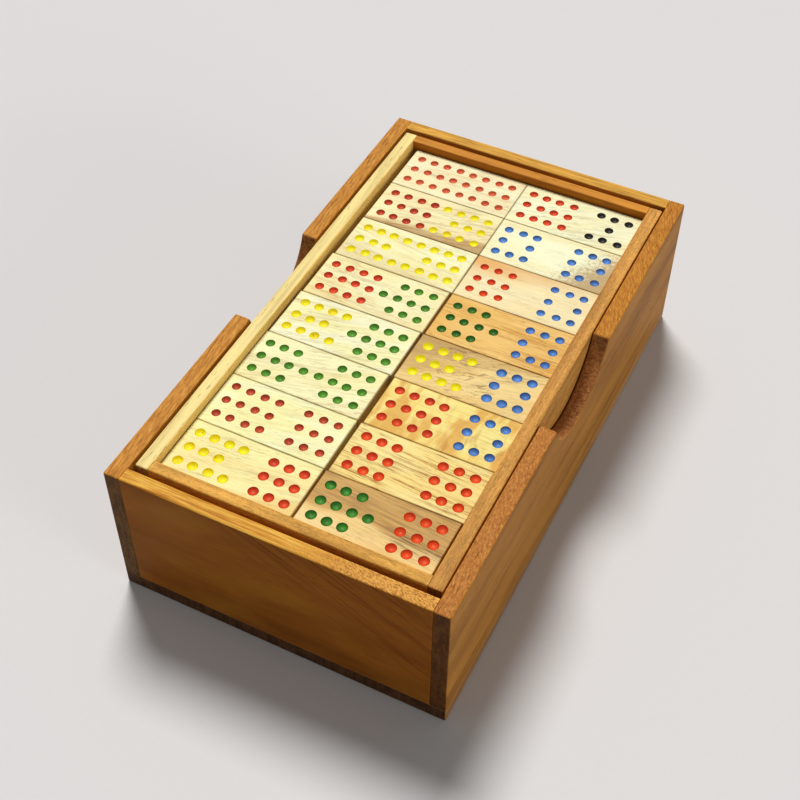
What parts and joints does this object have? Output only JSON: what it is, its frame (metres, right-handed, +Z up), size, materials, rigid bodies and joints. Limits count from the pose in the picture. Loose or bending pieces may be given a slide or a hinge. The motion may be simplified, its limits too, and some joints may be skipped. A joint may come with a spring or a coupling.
{
  "type": "domino storage box",
  "caption": "Wooden domino box: a lift-out tray packed with layers of numbered tiles, standing in a cover that has finger notches in its long sides.",
  "frame": {"origin": "centre of the underside of the cover's board, the face the box stands on", "axes": "+X to the right across the box, +Y along its length to the far end, +Z up out of the cover's mouth"},
  "size_m": [0.122, 0.21, 0.059],
  "materials": {
    "cover_board_wood": "dark brown plantation wood, satin, open pores",
    "cover_side_wood": "mid brown plantation wood with long darker streaks, satin",
    "cover_end_wood": "orange-brown plantation wood with slanting veins, satin",
    "tray_floor_wood": "tan wood, satin",
    "tray_cream_wood": "pale cream wood with fine pores, satin",
    "tray_tan_wood": "tan wood with coarse pores, satin",
    "tray_orange_wood": "orange-brown wood, satin",
    "tile_cream_wood": "pale cream wood, sanded, with painted dimples",
    "tile_tan_wood": "tan wood, sanded, with painted dimples",
    "tile_grey_wood": "grey-brown stained wood, sanded, with painted dimples",
    "tile_amber_wood": "amber wood with cross bands, sanded, with painted dimples"
  },
  "bodies": {
    "cover": {"cover_board": "cover_board_wood", "cover_side_left": "cover_side_wood", "cover_side_right": "cover_side_wood", "cover_end_near": "cover_end_wood", "cover_end_far": "cover_end_wood"},
    "tray": {"tray_floor": "tray_floor_wood", "tray_side_left": "tray_cream_wood", "tray_side_right": "tray_tan_wood", "tray_end_near": "tray_tan_wood", "tray_end_far": "tray_orange_wood"},
    "bottom_layer": {"bottom_layer": "tile_cream_wood"},
    "fifth_layer": {"fifth_layer": "tile_cream_wood"},
    "fourth_layer": {"fourth_layer": "tile_cream_wood"},
    "third_layer": {"third_layer": "tile_cream_wood"},
    "tile_11_7": {"tile_11_7": "tile_cream_wood"},
    "tile_10_7": {"tile_10_7": "tile_cream_wood"},
    "tile_9_7": {"tile_9_7": "tile_cream_wood"},
    "tile_8_7": {"tile_8_7": "tile_cream_wood"},
    "tile_7_7": {"tile_7_7": "tile_cream_wood"},
    "tile_12_6": {"tile_12_6": "tile_cream_wood"},
    "tile_11_6": {"tile_11_6": "tile_cream_wood"},
    "tile_10_6": {"tile_10_6": "tile_cream_wood"},
    "tile_9_6": {"tile_9_6": "tile_cream_wood"},
    "tile_8_6": {"tile_8_6": "tile_cream_wood"},
    "tile_7_6": {"tile_7_6": "tile_cream_wood"},
    "tile_6_6": {"tile_6_6": "tile_cream_wood"},
    "tile_12_5": {"tile_12_5": "tile_cream_wood"},
    "tile_11_5": {"tile_11_5": "tile_cream_wood"},
    "tile_10_5": {"tile_10_5": "tile_cream_wood"},
    "tile_9_5": {"tile_9_5": "tile_cream_wood"},
    "tile_12_12": {"tile_12_12": "tile_cream_wood"},
    "tile_12_11": {"tile_12_11": "tile_cream_wood"},
    "tile_11_11": {"tile_11_11": "tile_cream_wood"},
    "tile_12_10": {"tile_12_10": "tile_cream_wood"},
    "tile_11_10": {"tile_11_10": "tile_cream_wood"},
    "tile_10_10": {"tile_10_10": "tile_cream_wood"},
    "tile_12_9": {"tile_12_9": "tile_cream_wood"},
    "tile_11_9": {"tile_11_9": "tile_cream_wood"},
    "tile_12_7": {"tile_12_7": "tile_cream_wood"},
    "tile_8_8": {"tile_8_8": "tile_cream_wood"},
    "tile_9_8": {"tile_9_8": "tile_cream_wood"},
    "tile_10_8": {"tile_10_8": "tile_tan_wood"},
    "tile_11_8": {"tile_11_8": "tile_grey_wood"},
    "tile_12_8": {"tile_12_8": "tile_amber_wood"},
    "tile_9_9": {"tile_9_9": "tile_cream_wood"},
    "tile_10_9": {"tile_10_9": "tile_grey_wood"}
  },
  "joints": [
    {"name": "tray_lift", "type": "slide", "parent": "cover", "child": "tray", "axis": [0, 0, 1], "range_m": [0, 0.065]},
    {"name": "bottom_layer_lift", "type": "slide", "parent": "tray", "child": "bottom_layer", "axis": [0, 0, 1], "range_m": [0, 0.06]},
    {"name": "fifth_layer_lift", "type": "slide", "parent": "bottom_layer", "child": "fifth_layer", "axis": [0, 0, 1], "range_m": [0, 0.053]},
    {"name": "fourth_layer_lift", "type": "slide", "parent": "fifth_layer", "child": "fourth_layer", "axis": [0, 0, 1], "range_m": [0, 0.045]},
    {"name": "third_layer_lift", "type": "slide", "parent": "fourth_layer", "child": "third_layer", "axis": [0, 0, 1], "range_m": [0, 0.038]},
    {"name": "tile_11_7_lift", "type": "slide", "parent": "third_layer", "child": "tile_11_7", "axis": [0, 0, 1], "range_m": [0, 0.03]},
    {"name": "tile_10_7_lift", "type": "slide", "parent": "third_layer", "child": "tile_10_7", "axis": [0, 0, 1], "range_m": [0, 0.03]},
    {"name": "tile_9_7_lift", "type": "slide", "parent": "third_layer", "child": "tile_9_7", "axis": [0, 0, 1], "range_m": [0, 0.03]},
    {"name": "tile_8_7_lift", "type": "slide", "parent": "third_layer", "child": "tile_8_7", "axis": [0, 0, 1], "range_m": [0, 0.03]},
    {"name": "tile_7_7_lift", "type": "slide", "parent": "third_layer", "child": "tile_7_7", "axis": [0, 0, 1], "range_m": [0, 0.03]},
    {"name": "tile_12_6_lift", "type": "slide", "parent": "third_layer", "child": "tile_12_6", "axis": [0, 0, 1], "range_m": [0, 0.03]},
    {"name": "tile_11_6_lift", "type": "slide", "parent": "third_layer", "child": "tile_11_6", "axis": [0, 0, 1], "range_m": [0, 0.03]},
    {"name": "tile_10_6_lift", "type": "slide", "parent": "third_layer", "child": "tile_10_6", "axis": [0, 0, 1], "range_m": [0, 0.03]},
    {"name": "tile_9_6_lift", "type": "slide", "parent": "third_layer", "child": "tile_9_6", "axis": [0, 0, 1], "range_m": [0, 0.03]},
    {"name": "tile_8_6_lift", "type": "slide", "parent": "third_layer", "child": "tile_8_6", "axis": [0, 0, 1], "range_m": [0, 0.03]},
    {"name": "tile_7_6_lift", "type": "slide", "parent": "third_layer", "child": "tile_7_6", "axis": [0, 0, 1], "range_m": [0, 0.03]},
    {"name": "tile_6_6_lift", "type": "slide", "parent": "third_layer", "child": "tile_6_6", "axis": [0, 0, 1], "range_m": [0, 0.03]},
    {"name": "tile_12_5_lift", "type": "slide", "parent": "third_layer", "child": "tile_12_5", "axis": [0, 0, 1], "range_m": [0, 0.03]},
    {"name": "tile_11_5_lift", "type": "slide", "parent": "third_layer", "child": "tile_11_5", "axis": [0, 0, 1], "range_m": [0, 0.03]},
    {"name": "tile_10_5_lift", "type": "slide", "parent": "third_layer", "child": "tile_10_5", "axis": [0, 0, 1], "range_m": [0, 0.03]},
    {"name": "tile_9_5_lift", "type": "slide", "parent": "third_layer", "child": "tile_9_5", "axis": [0, 0, 1], "range_m": [0, 0.03]},
    {"name": "tile_12_12_lift", "type": "slide", "parent": "tile_11_7", "child": "tile_12_12", "axis": [0, 0, 1], "range_m": [0, 0.024]},
    {"name": "tile_12_11_lift", "type": "slide", "parent": "tile_10_7", "child": "tile_12_11", "axis": [0, 0, 1], "range_m": [0, 0.024]},
    {"name": "tile_11_11_lift", "type": "slide", "parent": "tile_9_7", "child": "tile_11_11", "axis": [0, 0, 1], "range_m": [0, 0.024]},
    {"name": "tile_12_10_lift", "type": "slide", "parent": "tile_8_7", "child": "tile_12_10", "axis": [0, 0, 1], "range_m": [0, 0.024]},
    {"name": "tile_11_10_lift", "type": "slide", "parent": "tile_7_7", "child": "tile_11_10", "axis": [0, 0, 1], "range_m": [0, 0.024]},
    {"name": "tile_10_10_lift", "type": "slide", "parent": "tile_12_6", "child": "tile_10_10", "axis": [0, 0, 1], "range_m": [0, 0.024]},
    {"name": "tile_12_9_lift", "type": "slide", "parent": "tile_11_6", "child": "tile_12_9", "axis": [0, 0, 1], "range_m": [0, 0.024]},
    {"name": "tile_11_9_lift", "type": "slide", "parent": "tile_10_6", "child": "tile_11_9", "axis": [0, 0, 1], "range_m": [0, 0.024]},
    {"name": "tile_12_7_lift", "type": "slide", "parent": "tile_9_6", "child": "tile_12_7", "axis": [0, 0, 1], "range_m": [0, 0.024]},
    {"name": "tile_8_8_lift", "type": "slide", "parent": "tile_8_6", "child": "tile_8_8", "axis": [0, 0, 1], "range_m": [0, 0.024]},
    {"name": "tile_9_8_lift", "type": "slide", "parent": "tile_7_6", "child": "tile_9_8", "axis": [0, 0, 1], "range_m": [0, 0.024]},
    {"name": "tile_10_8_lift", "type": "slide", "parent": "tile_6_6", "child": "tile_10_8", "axis": [0, 0, 1], "range_m": [0, 0.024]},
    {"name": "tile_11_8_lift", "type": "slide", "parent": "tile_12_5", "child": "tile_11_8", "axis": [0, 0, 1], "range_m": [0, 0.024]},
    {"name": "tile_12_8_lift", "type": "slide", "parent": "tile_11_5", "child": "tile_12_8", "axis": [0, 0, 1], "range_m": [0, 0.024]},
    {"name": "tile_9_9_lift", "type": "slide", "parent": "tile_10_5", "child": "tile_9_9", "axis": [0, 0, 1], "range_m": [0, 0.024]},
    {"name": "tile_10_9_lift", "type": "slide", "parent": "tile_9_5", "child": "tile_10_9", "axis": [0, 0, 1], "range_m": [0, 0.024]}
  ]
}
